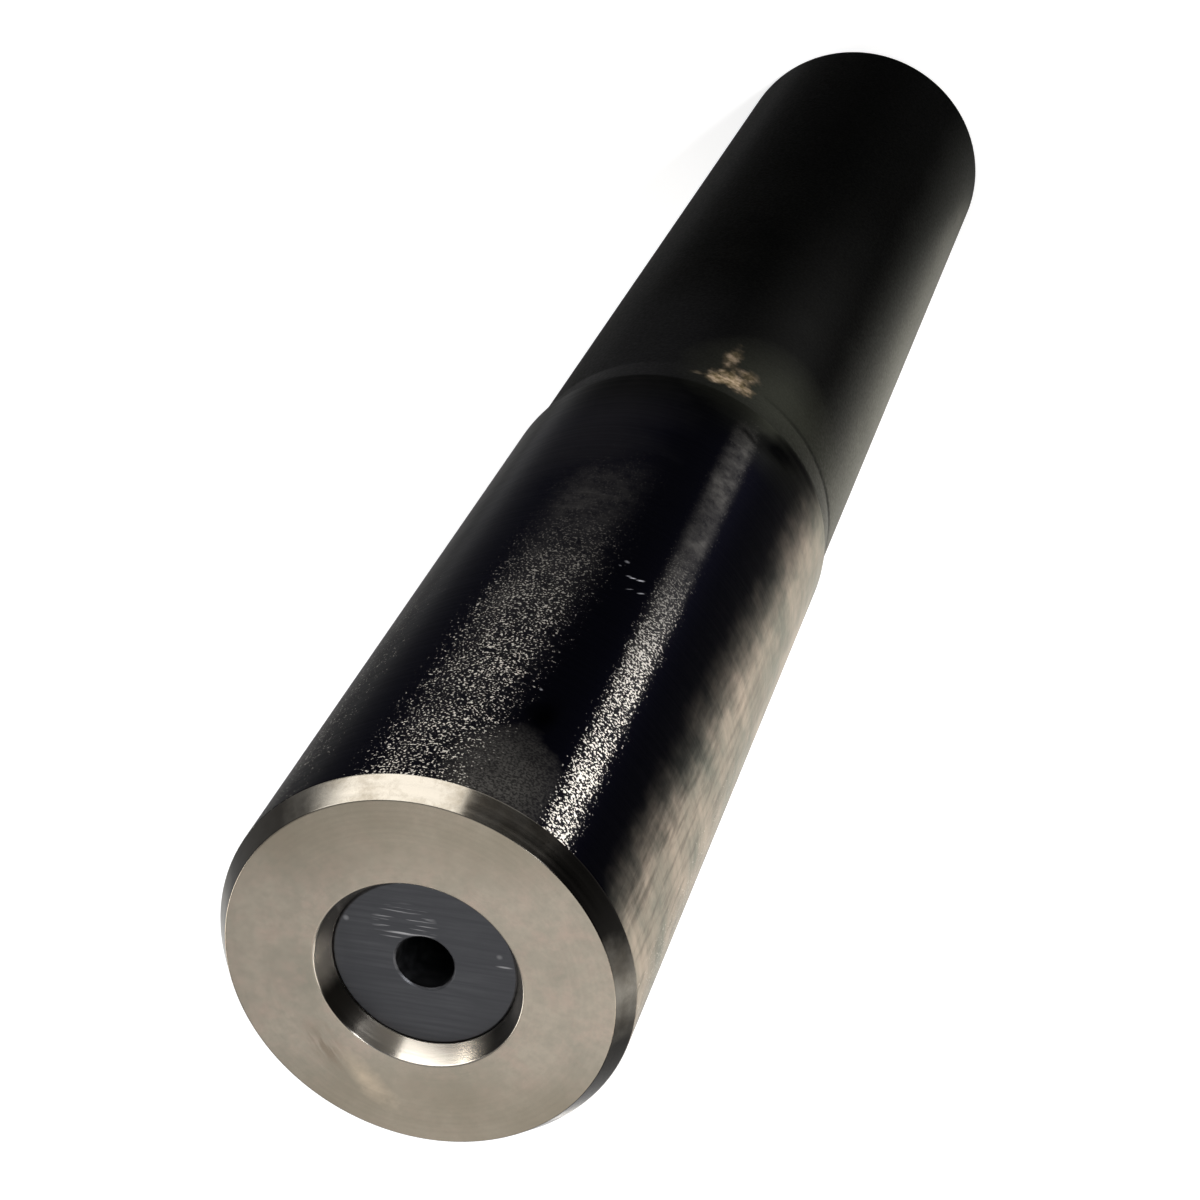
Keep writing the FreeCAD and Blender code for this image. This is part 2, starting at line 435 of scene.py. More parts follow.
# The rub at the step: bare steel with a painted straw-coloured glint where it is strongest, and a
# painted olive-grey sheen beside it.
STRAW = (0.345, 0.26, 0.132)
STRAW_PALE = (0.53, 0.41, 0.295)
OLIVE_GREY = (0.075, 0.078, 0.058)
RUB_SCALE = 700.0
RUB_WANDER = 0.35
SPECK_SCALE = 1900.0
SPECK_SHARES = (0.45, 1.0)
OLIVE_RANGE = (0.05, 0.4)
STEP_SPOTS = (
    # angle, height, half arc, half height, tilt, strength
    (24.5, 66.9 * MM, 1.1 * MM, 1.3 * MM, 0.25, 0.85),
    (30.0, 66.3 * MM, 1.6 * MM, 1.6 * MM, -0.2, 1.0),
    (26.0, 63.4 * MM, 0.65 * MM, 2.3 * MM, 0.1, 0.5),
    (34.0, 64.9 * MM, 1.1 * MM, 1.1 * MM, -0.2, 0.55),
    (17.5, 67.0 * MM, 1.0 * MM, 0.6 * MM, 0.1, 0.3),
)
STEP_SHEEN_DRIFT = 0.12
# Painted sheens beside the rub, on the neck and the shank's end.
STEP_SHEENS = (
    (50.0, 65.2 * MM, 7.2 * MM, 6.8 * MM, -0.3, 0.32),
    (57.0, 69.6 * MM, 5.1 * MM, 5.3 * MM, -0.5, 0.1),
)


def step_rub_and_sheen(tree, place, arc, height):
    """The rub at the step with its painted straw glint, and the painted olive-grey sheen beside it:
    a share and a colour.
    """
    rub = noise(tree, place, RUB_SCALE, detail=4.0, roughness=0.6)
    wander = spread(tree, rub, -RUB_WANDER, RUB_WANDER)
    specks = ramp(tree, noise(tree, place, SPECK_SCALE, detail=3.0), *NOISE_MIDDLE)
    share = strongest_oval(tree, arc, height, STEP_SPOTS, wander)
    broken = ramp(tree, specks, 0.0, 1.0, *SPECK_SHARES)
    share = calculate(tree, "MULTIPLY", share, broken)
    drift = calculate(tree, "MULTIPLY", wander, STEP_SHEEN_DRIFT)
    haze = strongest_oval(tree, arc, height, STEP_SHEENS, drift)
    warm = blend_colours(tree, specks, STRAW, STRAW_PALE)
    colour = blend_colours(tree, ramp(tree, share, *OLIVE_RANGE), OLIVE_GREY, warm)
    return calculate(tree, "MAXIMUM", share, haze), colour


# The shank's blackening over its ground surface.
BLACK_GROUND = (0.0022, 0.0022, 0.0046)
BLACK_AT_NECK = (0.0022, 0.0022, 0.0021)
TO_NECK_RANGE = (40.0 * MM, 48.0 * MM)
BLACK_GRAIN = (0.80, 0.76, 0.69)
SHANK_GRAIN = 8600.0
SHANK_CLOUD = 260.0
SHANK_LAY = (60.0, 60.0, 5000.0)
SHANK_LAY_SHARE = 0.25
SHANK_ANISOTROPY = 1.0
SHANK_EDGE_TINT = 0.5
SHANK_ROUGH = (0.5, 0.58)
SHANK_RELIEF = (0.35, 0.01 * MM)
SHANK_DUST = 0.3
EDGE_WANDER = 0.5 * MM

# The shank's side with a painted beige reflection of pale surroundings, broken by scratch marks.
SIDE_REFLECTION_BEIGE = (0.345, 0.30, 0.25)
SIDE_REFLECTION_GREY = (0.185, 0.188, 0.160)
SIDE_REFLECTION_CENTRE = 99.0
SIDE_REFLECTION_HALF = 38.0
SIDE_REFLECTION_SHIFT = 6.5
SIDE_REFLECTION_LENGTH = 45.0 * MM
SIDE_REFLECTION_SOFTNESS = 0.42
SIDE_REFLECTION_STRENGTHS = (1.1, 0.86)
SCRATCH_STRETCH = (2300.0, 2300.0, 300.0)
SCRATCH_VALUES = (0.32, 0.66)
SCRATCH_RANGE = (12.0 * MM, 36.0 * MM)
SCRATCH_LEAST = (0.55, 0.85)
SCRATCH_MOST = (1.25, 1.05)

# The bands where bright grains show and a sheen is laid, along the two streaks: painted highlights.
STREAK_BANDS = (
    # angle from +Y towards +X at the end face and at the far end, half width, length, cover
    (46.5, 42.5, 6.3, 51.0 * MM, 0.84),
    (5.5, 12.5, 17.5, 40.0 * MM, 0.62),
)
STREAK_BAND_LENGTH = 46.0 * MM
STREAK_BAND_FADE = 9.0 * MM
STREAK_BAND_SOFT_EDGE = (1.3, 0.35)
COVER_UNEVEN = (0.72, 1.15)
GRAIN_THRESHOLDS = (0.74, 0.47)
GRAIN_EDGE = 0.07
LEAST_COVER = (0.03, 0.15)
COVER_FADE = (48.0 * MM, 44.0 * MM)
CRISP_RANGE = (30.0 * MM, 9.0 * MM)
CRISP_SHARES = (0.035, 0.88)
FRONT_MIDDLE = 35.0
AWAY_FROM_FRONT = (9.0 * MM, 13.0 * MM)
# Grain cover on the streaks' side and on the far side: the streaks' side is kept darker, as painted
# shade.
AWAY_COVERS = (0.02, 0.4)
AWAY_SHEEN = (0.25, 0.45, 0.0, 0.022)
BAND_SHEEN = 0.08
BLOTCH_SCALE = 1500.0
BLOTCH_SHARES = (0.35, 1.5)

# Small nicks; painted shade along the step and one dark mark near the end face; a thin haze, and a
# painted sheen farther down the shank.
NICK_STEEL = (0.85, 0.85, 0.92)
NICKS = (
    # angle, height, half length, half width, tilt, strength
    (32.1, 92.51 * MM, 0.24 * MM, 0.055 * MM, -0.58, 1.0),
    (34.5, 92.35 * MM, 0.30 * MM, 0.08 * MM, -0.67, 0.8),
    (30.8, 92.51 * MM, 0.20 * MM, 0.05 * MM, -0.63, 0.5),
    (36.3, 93.43 * MM, 0.28 * MM, 0.06 * MM, -0.78, 0.5),
    (32.8, 93.63 * MM, 0.28 * MM, 0.04 * MM, -0.77, 0.3),
    (28.4, 91.29 * MM, 0.17 * MM, 0.15 * MM, -0.49, 0.3),
    (27.1, 91.91 * MM, 0.10 * MM, 0.07 * MM, -0.1, 0.3),
    (24.8, 105.4 * MM, 0.10 * MM, 0.10 * MM, 0.0, 0.45),
)
# Painted shade in the crease and along the step, and one dark mark on the shank near its end face.
STEP_SHADE_AND_DARK_MARKS = (
    # angle, height, half arc, half height, tilt, strength
    (56.0, 70.75 * MM, 2.6 * MM, 1.3 * MM, -0.52, 1.0),
    (66.5, 69.25 * MM, 2.6 * MM, 0.62 * MM, -0.03, 1.0),
    (100.0, 65.85 * MM, 9.5 * MM, 0.4 * MM, 0.0, 0.75),
    (44.0, 71.8 * MM, 1.5 * MM, 0.45 * MM, 0.4, 0.7),
    (29.0, 107.4 * MM, 0.95 * MM, 1.7 * MM, 0.0, 1.0),
)
SHADE_AND_MARK_COLOUR = (0.0003, 0.0003, 0.0005)
MARK_WANDER = 0.3
END_HAZE = (27.0, 113.4 * MM, 2.7 * MM, 4.9 * MM, 0.0, 0.16)
END_HAZE_GRAIN = (0.4, 0.6, 0.4, 1.3)
END_HAZE_CLOUD = (0.35, 1.2)
# A painted sheen where the broad streak runs on towards the step.
FAR_SHEEN = (1.0, 77.0 * MM, 4.8 * MM, 7.5 * MM, 0.0, 0.006)


def away_share(tree, arc):
    """0 on the side of the two streaks, 1 on the rest of the round."""
    off_front = distance_from(tree, arc, round_arc(FRONT_MIDDLE))
    return smooth_ramp(tree, off_front, *AWAY_FROM_FRONT)


def grain_cover(tree, arc, depth):
    """Where bright grains show: painted highlight bands along the shank, and its far side all over.
    """
    total = ramp(tree, away_share(tree, arc), 0.0, 1.0, *AWAY_COVERS)
    for near_degrees, far_degrees, half_degrees, length, strength in STREAK_BANDS:
        ends = (round_arc(near_degrees), round_arc(far_degrees))
        centre = ramp(tree, depth, 0.0, STREAK_BAND_LENGTH, *ends)
        off_centre = distance_from(tree, arc, centre)
        half_width = round_arc(half_degrees)
        outer, inner = (share * half_width for share in STREAK_BAND_SOFT_EDGE)
        across = smooth_ramp(tree, off_centre, outer, inner, 0.0, strength)
        along = smooth_ramp(tree, depth, length, length - STREAK_BAND_FADE)
        total = calculate(tree, "MAXIMUM", calculate(tree, "MULTIPLY", across, along), total)
    return total


def grain_and_sheen_share(tree, place, arc, depth, grain, cloud):
    """The share of bright grains: crisp near the end face, a blurred painted sheen farther away."""
    cover = grain_cover(tree, arc, depth)
    cover = calculate(tree, "MULTIPLY", cover, spread(tree, cloud, *COVER_UNEVEN))
    cover = calculate(tree, "MULTIPLY", cover, smooth_ramp(tree, depth, *COVER_FADE))
    threshold = ramp(tree, cover, 0.0, 1.0, *GRAIN_THRESHOLDS)
    grains = ramp(tree, grain, threshold, calculate(tree, "ADD", threshold, GRAIN_EDGE))
    grains = calculate(tree, "MULTIPLY", grains, ramp(tree, cover, *LEAST_COVER))
    crisp = smooth_ramp(tree, depth, *CRISP_RANGE, *CRISP_SHARES)
    share = calculate(tree, "MULTIPLY", grains, crisp)

    blotch = noise(tree, place, BLOTCH_SCALE, detail=3.0, roughness=0.6)
    # A painted sheen along the streak bands where the crisp grains fade.
    sheen = calculate(tree, "MULTIPLY", calculate(tree, "POWER", cover, 3.0), BAND_SHEEN)
    sheen = calculate(tree, "MULTIPLY", sheen, spread(tree, blotch, *BLOTCH_SHARES))
    sheen = calculate(tree, "MULTIPLY", sheen, calculate(tree, "SUBTRACT", 1.0, crisp))
    share = calculate(tree, "MAXIMUM", share, sheen)

    away = ramp(tree, cover, *AWAY_SHEEN)
    away = calculate(tree, "MULTIPLY", away, away_share(tree, arc))
    return calculate(tree, "MAXIMUM", share, away)


def side_reflection(tree, place, arc, depth, cloud):
    """A painted beige reflection down one side, broken by scratch marks: its share and its colour.
    """
    ends = (round_arc(SIDE_REFLECTION_CENTRE), round_arc(SIDE_REFLECTION_CENTRE + SIDE_REFLECTION_SHIFT))
    middle = ramp(tree, depth, 0.0, SIDE_REFLECTION_LENGTH, *ends)
    off_middle = distance_from(tree, arc, middle)
    off_middle = calculate(tree, "ADD", off_middle, spread(tree, cloud, -EDGE_WANDER, EDGE_WANDER))
    half_width = round_arc(SIDE_REFLECTION_HALF)
    share = smooth_ramp(tree, off_middle, half_width, SIDE_REFLECTION_SOFTNESS * half_width)
    scratches = noise(tree, place, 1.0, detail=5.0, roughness=0.6, stretch=SCRATCH_STRETCH)
    least = ramp(tree, depth, *SCRATCH_RANGE, *SCRATCH_LEAST)
    most = ramp(tree, depth, *SCRATCH_RANGE, *SCRATCH_MOST)
    scratched = ramp(tree, scratches, *SCRATCH_VALUES, least, most)
    share = calculate(tree, "MULTIPLY", share, scratched)
    along = ramp(tree, depth, 0.0, SIDE_REFLECTION_LENGTH, *SIDE_REFLECTION_STRENGTHS)
    share = calculate(tree, "MULTIPLY", share, along)
    greyed = ramp(tree, cloud, *NOISE_MIDDLE)
    colour = blend_colours(tree, greyed, SIDE_REFLECTION_BEIGE, SIDE_REFLECTION_GREY)
    return share, colour


def add_step_rub_sheen_and_shade(tree, place, arc, height, cloud, colour):
    """A colour with the rub at the step, its painted glint and sheen, and painted shade and a dark
    mark laid over it.
    """
    rub_share, rub_colour = step_rub_and_sheen(tree, place, arc, height)
    colour = blend_colours(tree, rub_share, colour, rub_colour)
    wander = spread(tree, cloud, -MARK_WANDER, MARK_WANDER)
    dark = strongest_oval(tree, arc, height, STEP_SHADE_AND_DARK_MARKS, wander)
    return blend_colours(tree, dark, colour, SHADE_AND_MARK_COLOUR)


shank_finish, tree, shader, place = new_finish("ground_and_blackened")
arc, height = on_the_round(tree, place)
depth = calculate(tree, "SUBTRACT", OVERALL_LENGTH, height)
grain = noise(tree, place, SHANK_GRAIN, detail=1.0)
lay = noise(tree, place, 1.0, detail=3.0, stretch=SHANK_LAY)
cloud = noise(tree, place, SHANK_CLOUD, detail=4.0, roughness=0.65)
# Bright grains and painted sheen: painted highlights along the two streaks, an even grain on the
# far side.
grain_and_sheen = grain_and_sheen_share(tree, place, arc, depth, grain, cloud)
wander = spread(tree, cloud, -MARK_WANDER, MARK_WANDER)
haze = strongest_oval(tree, arc, height, (END_HAZE,), wander)
haze = calculate(tree, "MULTIPLY", haze, ramp(tree, grain, *END_HAZE_GRAIN))
clouded = ramp(tree, cloud, *NOISE_MIDDLE, *END_HAZE_CLOUD)
haze = calculate(tree, "MULTIPLY", haze, clouded)
grain_and_sheen = calculate(tree, "MAXIMUM", grain_and_sheen, haze)
# The painted sheen farther down the shank.
far_sheen = strongest_oval(tree, arc, height, (FAR_SHEEN,), wander)
grain_and_sheen = calculate(tree, "MAXIMUM", grain_and_sheen, far_sheen)
to_neck = smooth_ramp(tree, depth, *TO_NECK_RANGE)
black = blend_colours(tree, to_neck, BLACK_GROUND, BLACK_AT_NECK)
# A painted reflection of pale surroundings down the right side, with scratch marks.
side_reflection_share, side_reflection_colour = side_reflection(tree, place, arc, depth, cloud)
black = blend_colours(tree, side_reflection_share, black, side_reflection_colour)
black = blend_colours(tree, grain_and_sheen, black, BLACK_GRAIN)
nicked = strongest_oval(tree, arc, height, NICKS)
black = blend_colours(tree, nicked, black, NICK_STEEL)
coloured = add_step_rub_sheen_and_shade(tree, place, arc, height, cloud, black)
set_metal(tree, shader, coloured, spread(tree, lay, *SHANK_ROUGH), SHANK_EDGE_TINT)
set_dust(shader, SHANK_DUST)
brush_round(tree, shader, SHANK_ANISOTROPY)
relief = calculate(tree, "ADD", grain, calculate(tree, "MULTIPLY", lay, SHANK_LAY_SHARE))
set_relief(tree, shader, relief, *SHANK_RELIEF)

# The neck's blackening over its turned surface, greyer on the sides: painted sheens, a painted pale
# reflection on its right side, and painted shade towards its foot.
NECK_DARK = (0.0005, 0.0005, 0.0005)
NECK_PALE = (0.002, 0.002, 0.0019)
NECK_FOOT_SHADE = (0.0002, 0.0002, 0.0002)
NECK_FOOT_SHADE_RANGE = (48.0 * MM, 12.0 * MM)
# Painted sheens: to the front, where the strip lamp falls, a pale painted reflection on the right
# side, and round the back.
NECK_SHEENS = (
    # middle angle, half width, colour, heights between which it comes in, share at the lower one
    (-5.0, 52.0, (0.0075, 0.0075, 0.008), 48.0 * MM, 64.0 * MM, 0.0),
    (44.0, 28.0, (0.0105, 0.0105, 0.01), 28.0 * MM, 62.0 * MM, 0.1),
    (106.0, 48.0, (0.085, 0.087, 0.077), 0.0, 55.0 * MM, 0.5),
    (-108.0, 85.0, (0.026, 0.026, 0.024), 0.0, 55.0 * MM, 0.5),
)
NECK_UNEVEN = (0.72, 1.12)
NECK_CLOUD = 140.0
NECK_FINE = 5200.0
NECK_LAY = (50.0, 50.0, 3800.0)
NECK_LAY_SHARE = 0.8
NECK_EDGE_TINT = 0.5
NECK_ANISOTROPY = 0.8
NECK_ROUGH = (0.55, 0.68)
NECK_RELIEF = (0.3, 0.01 * MM)
NECK_DUST = 0.045

neck_finish, tree, shader, place = new_finish("turned_and_blackened")
arc, height = on_the_round(tree, place)
cloud = noise(tree, place, NECK_CLOUD, detail=5.0, roughness=0.6)
fine = noise(tree, place, NECK_FINE)
lay = noise(tree, place, 1.0, detail=3.0, stretch=NECK_LAY)
black = blend_colours(tree, spread(tree, cloud, 0.0, 1.0), NECK_DARK, NECK_PALE)
# Darker towards the foot: painted shade.
black = blend_colours(tree, smooth_ramp(tree, height, *NECK_FOOT_SHADE_RANGE), black, NECK_FOOT_SHADE)
for middle, half, colour, fade_from, fade_to, low in NECK_SHEENS:
    off = distance_from(tree, arc, round_arc(middle))
    off = calculate(tree, "ADD", off, spread(tree, cloud, -EDGE_WANDER, EDGE_WANDER))
    along = smooth_ramp(tree, height, fade_from, fade_to, low, 1.0)
    share = calculate(tree, "MULTIPLY", smooth_ramp(tree, off, round_arc(half), 0.0), along)
    share = calculate(tree, "MULTIPLY", share, spread(tree, cloud, *NECK_UNEVEN))
    black = blend_colours(tree, share, black, colour)
coloured = add_step_rub_sheen_and_shade(tree, place, arc, height, cloud, black)
set_metal(tree, shader, coloured, spread(tree, fine, *NECK_ROUGH), NECK_EDGE_TINT)
set_dust(shader, NECK_DUST)
brush_round(tree, shader, NECK_ANISOTROPY)
relief = calculate(tree, "ADD", fine, calculate(tree, "MULTIPLY", lay, NECK_LAY_SHARE))
set_relief(tree, shader, relief, *NECK_RELIEF)

# The bright end: a flat face, the chamfer round it and the cone down to the plug.
FACE_STEEL = (0.545, 0.485, 0.40)
FACE_STAIN = (0.41, 0.378, 0.312)
FACE_SMEAR = (0.76, 0.63, 0.475)
FACE_PINK = (0.585, 0.472, 0.395)
FACE_SCUFF = (0.36, 0.30, 0.235)
FACE_DARKER_ENDS = (0.37, 0.325, 0.255)

# The SHARES hold a range of a noise, or of a distance, and the shares at its two ends.
STAIN_SHARES = (0.42, 0.66, 0.0, 0.9)
PINK_SHARES = (0.45, 0.7, 0.0, 0.8)
MOTTLE_SHARES = (0.4, 0.7, 0.0, 0.45)
DARKER_ENDS_SHARES = (3.6 * MM, 7.5 * MM, 0.0, 0.85)
DARKER_ENDS_UNEVEN = (0.6, 1.2)
FACE_REACH = 0.01 * MM
PATCH_WANDER = 0.4
PATCH_SHARES = (1.1, 0.2, 0.0, 0.8)
SMEAR_TURN = -0.98
SMEAR_PATCH = (-3.7 * MM, -5.75 * MM, 1.9 * MM, 0.85 * MM)
SCUFF_TURN = -1.2
SCUFF_PATCH = (-5.0 * MM, -4.5 * MM, 2.3 * MM, 0.9 * MM)
SCUFF_STRETCH = (900.0, 3800.0, 900.0)
SCUFF_SHARES = (0.4, 0.6, 0.3, 1.5)
CHAMFER_STEEL = (0.27, 0.25, 0.215)
CHAMFER_STAIN = (0.17, 0.15, 0.12)
CHAMFER_STAIN_SHARES = (0.46, 0.66, 0.0, 0.8)
CONE_STEEL = (0.60, 0.56, 0.50)
CONE_REACH = 0.05 * MM
# Near-black arcs on the chamfer and the cone where they show dark surroundings: painted dark
# reflections.
SLOPE_DARK_REFLECTION = (0.014, 0.013, 0.012)
SLOPE_WANDER = 0.1
SLOPE_SOFTNESS = 0.35
CHAMFER_DARK_REFLECTION_ARCS = (
    # middle angle from +Y towards +X, half width, strength
    (61.5, 35.0, 0.98),
    (-46.0, 38.0, 0.93),
    (132.0, 42.0, 0.97),
)
CONE_DARK_REFLECTION_ARCS = (
    (-117.0, 26.0, 0.92),
    (133.0, 20.0, 0.5),
)
END_EDGE_TINT = 0.6
END_ANISOTROPY = 0.5
END_ROUGH = (0.15, 0.21)
FACE_ROUGHER = 0.07
CONE_ROUGHER = 0.06
END_RELIEF = (0.1, 0.003 * MM)
END_RINGS = 6000.0
END_STAIN = 260.0
END_CLOUD = 620.0
END_MOTTLE = 2100.0
END_FINE = 7000.0
END_FINE_SHARE = 0.5


def off_patch(tree, place, patch, height, turn):
    """How far a point lies from a flat patch's middle, 1 at its edge: x, y and both half widths."""
    x, y, along, across = patch
    from_patch = add_node(
        tree,
        "ShaderNodeMapping",
        {
            "Vector": place,
            "Location": (x, y, height),
            "Rotation": (0.0, 0.0, turn),
            "Scale": (along, across, 1.0),
        },
        vector_type="TEXTURE",
    )
    return length_of(tree, from_patch.outputs[0])


def face_patch(tree, place, stain, patch, turn):
    """A patch on the end face, with a soft uneven edge."""
    off = off_patch(tree, place, patch, OVERALL_LENGTH, turn)
    off = calculate(tree, "ADD", off, spread(tree, stain, -PATCH_WANDER, PATCH_WANDER))
    return ramp(tree, off, *PATCH_SHARES)


def turning_rings(tree, place, scale):
    """The fine rings that a turning tool leaves, and a point's distance from the axis."""
    split = add_node(tree, "ShaderNodeSeparateXYZ", {0: place}).outputs
    from_axis = off_axis(tree, split)
    across_rings = add_node(tree, "ShaderNodeCombineXYZ", {"X": from_axis, "Y": split["Z"]})
    return noise(tree, across_rings.outputs[0], scale, detail=3.0), from_axis


end_finish, tree, shader, place = new_finish("turned_bright")
split = add_node(tree, "ShaderNodeSeparateXYZ", {0: place}).outputs
rings, from_axis = turning_rings(tree, place, END_RINGS)
stain = noise(tree, place, END_STAIN, detail=5.0, roughness=0.65)
cloud = noise(tree, place, END_CLOUD, detail=5.0, roughness=0.7)
mottle = noise(tree, place, END_MOTTLE, detail=3.0, roughness=0.6)
fine = noise(tree, place, END_FINE, detail=1.0)
scuffs = noise(tree, place, 1.0, detail=4.0, stretch=SCUFF_STRETCH, turn=SCUFF_TURN)
on_face = calculate(tree, "GREATER_THAN", split["Z"], OVERALL_LENGTH - FACE_REACH)
in_cone = calculate(tree, "LESS_THAN", from_axis, CONE_RADIUS + CONE_REACH)

face = blend_colours(tree, ramp(tree, stain, *STAIN_SHARES), FACE_STEEL, FACE_STAIN)
face = blend_colours(tree, ramp(tree, cloud, *PINK_SHARES), face, FACE_PINK)
face = blend_colours(tree, ramp(tree, mottle, *MOTTLE_SHARES), face, FACE_STAIN)
# The face goes darker farther from its middle line along X, towards its top and bottom.
off_line = calculate(tree, "ABSOLUTE", split["Y"])
darker_ends = smooth_ramp(tree, off_line, *DARKER_ENDS_SHARES)
darker_ends = calculate(tree, "MULTIPLY", darker_ends, spread(tree, stain, *DARKER_ENDS_UNEVEN))
face = blend_colours(tree, darker_ends, face, FACE_DARKER_ENDS)
smeared = face_patch(tree, place, stain, SMEAR_PATCH, SMEAR_TURN)
face = blend_colours(tree, smeared, face, FACE_SMEAR)
scuffed = face_patch(tree, place, stain, SCUFF_PATCH, SCUFF_TURN)
scuffed = calculate(tree, "MULTIPLY", scuffed, ramp(tree, scuffs, *SCUFF_SHARES))
face = blend_colours(tree, scuffed, face, FACE_SCUFF)

angle = calculate(tree, "ARCTAN2", split["X"], split["Y"])
stained = ramp(tree, cloud, *CHAMFER_STAIN_SHARES)
chamfer = blend_colours(tree, stained, CHAMFER_STEEL, CHAMFER_STAIN)
slopes = []
# The painted dark reflections laid over the chamfer and the cone.
for colour, arcs in ((chamfer, CHAMFER_DARK_REFLECTION_ARCS), (CONE_STEEL, CONE_DARK_REFLECTION_ARCS)):
    for middle, half, strength in arcs:
        off = distance_from(tree, angle, math.radians(middle))
        off = calculate(tree, "ADD", off, spread(tree, stain, -SLOPE_WANDER, SLOPE_WANDER))
        reach = math.radians(half)
        share = smooth_ramp(tree, off, reach, SLOPE_SOFTNESS * reach, 0.0, strength)
        colour = blend_colours(tree, share, colour, SLOPE_DARK_REFLECTION)
    slopes.append(colour)
slopes = blend_colours(tree, in_cone, slopes[0], slopes[1])
steel = blend_colours(tree, on_face, slopes, face)
rough = spread(tree, rings, *END_ROUGH)
rough = calculate(tree, "ADD", rough, calculate(tree, "MULTIPLY", on_face, FACE_ROUGHER))
rough = calculate(tree, "ADD", rough, calculate(tree, "MULTIPLY", in_cone, CONE_ROUGHER))
set_metal(tree, shader, steel, rough, END_EDGE_TINT)
brush_round(tree, shader, END_ANISOTROPY)
relief = calculate(tree, "ADD", rings, calculate(tree, "MULTIPLY", fine, END_FINE_SHARE))
set_relief(tree, shader, relief, *END_RELIEF)

# The bores and the thread: plain machined steel.
INSIDE_STEEL = (0.46, 0.445, 0.41)
INSIDE_STAIN = (0.41, 0.392, 0.355)
INSIDE_ROUGH = (0.26, 0.38)
INSIDE_RELIEF = (0.2, 0.004 * MM)
INSIDE_RINGS = 5200.0
INSIDE_CLOUD = 420.0
INSIDE_STAIN_RANGE = (0.4, 0.7)

inside_finish, tree, shader, place = new_finish("machined_inside")
rings = turning_rings(tree, place, INSIDE_RINGS)[0]
cloud = noise(tree, place, INSIDE_CLOUD, detail=4.0, roughness=0.6)
stained = ramp(tree, cloud, *INSIDE_STAIN_RANGE)
steel = blend_colours(tree, stained, INSIDE_STEEL, INSIDE_STAIN)
set_metal(tree, shader, steel, spread(tree, rings, *INSIDE_ROUGH))
set_relief(tree, shader, rings, *INSIDE_RELIEF)

thread_row = THREAD_PITCH / THREAD_ROWS_PER_PITCH
thread_rows = int((THREAD_LENGTH - THREAD_LEAD_IN) / thread_row)
threaded_points = []
for number in range(thread_rows):
    threaded_points.append((BORE_RADIUS, THREAD_TOP - number * thread_row))
for number in range(THREAD_LEAD_IN_ROWS):
    share = number / THREAD_LEAD_IN_ROWS
    lead_in_radius = BORE_RADIUS + THREAD_LEAD_IN * share
    threaded_points.append((lead_in_radius, PILOT_DEPTH + THREAD_LEAD_IN * (1.0 - share)))

bar_corners = [
    (SHANK_RADIUS - END_CHAMFER_WIDTH, OVERALL_LENGTH, 0.7),
    (CONE_RADIUS, OVERALL_LENGTH, 0.9),
    (SOCKET_RADIUS, PLUG_FACE, 0.3),
    (SOCKET_RADIUS, SOCKET_FLOOR, 1.0),
    (CHANNEL_RADIUS, SOCKET_FLOOR, 1.0),
    (CHANNEL_RADIUS, DRILL_POINT_TOP, 1.0),
    (BORE_RADIUS, TAPPING_TOP, 1.0),
    *[(radius, height, 0.0) for radius, height in threaded_points],
    (PILOT_RADIUS, PILOT_DEPTH, 1.0),
    (PILOT_RADIUS, PILOT_CHAMFER, 1.0),
    (PILOT_RADIUS + PILOT_CHAMFER, 0.0, 1.0),
    (NECK_RADIUS - FOOT_CHAMFER, 0.0, 1.0),
    (NECK_RADIUS, FOOT_CHAMFER, 1.0),
    (NECK_RADIUS, STEP_HEIGHT, 3.0),
    (SHANK_RADIUS, STEP_HEIGHT + LEAD_OUT, 3.0),
    (SHANK_RADIUS, CHAMFER_START, 1.0),
]
bar_points = softened(bar_corners, EDGE_ROUND)
bar_shares = []
for point in bar_points:
    in_bore = point.x < PILOT_RADIUS and PILOT_DEPTH < point.y <= THREAD_TOP
    run_out_share = min(1.0, (THREAD_TOP - point.y) / THREAD_PITCH)
    bar_shares.append(run_out_share if in_bore else 0.0)

lathe = turning_tree()
bar = outline_object("turned_bar", bar_points, bar_shares)
turn_on_lathe(
    bar,
    lathe,
    {
        "Steps round": STEPS_ROUND,
        "Thread bore radius": BORE_RADIUS,
        "Thread height": THREAD_HEIGHT,
        "Thread pitch": THREAD_PITCH,
        "Neck top": STEP_HEIGHT + LEAD_OUT,
        "Shank top": CHAMFER_START + 0.5 * EDGE_ROUND,
        "Skin radius": NECK_RADIUS - FOOT_CHAMFER,
        "Neck finish": neck_finish,
        "Shank finish": shank_finish,
        "Inside finish": inside_finish,
        "End finish": end_finish,
    },
)
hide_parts("extension_body")
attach(bar, "root")

# The coolant plug: a turned steel slug with a metering hole, pressed into the shank end until its
# face stands level with the foot of the cone. Its face is dark blue-grey, with fine straight marks.
PLUG_RADIUS = 4.45 * MM
PLUG_EDGE_BREAK = 0.1 * MM
METERING_RADIUS = 1.4 * MM
PLUG_STEPS_ROUND = 192
ABOVE_ALL = 1.0
PLUG_DARK = (0.088, 0.090, 0.099)
PLUG_PALE = (0.128, 0.131, 0.142)
PLUG_EDGE_TINT = 0.3
PLUG_ROUGH = (0.38, 0.52)
PLUG_RELIEF = (0.3, 0.01 * MM)
PLUG_SCRATCH_AND_HIGHLIGHT = (0.62, 0.62, 0.64)
PLUG_CLOUD = 420.0
PLUG_UNEVEN = (0.4, 1.0)
MARKS_TURN = math.radians(-7.6)
MARKS_STRETCH = (260.0, 5200.0, 2000.0)
MARKS_RANGE = (0.35, 0.7)
LINES_STRETCH = (520.0, 7600.0, 2000.0)
LINES_RANGE = (0.56, 0.66)
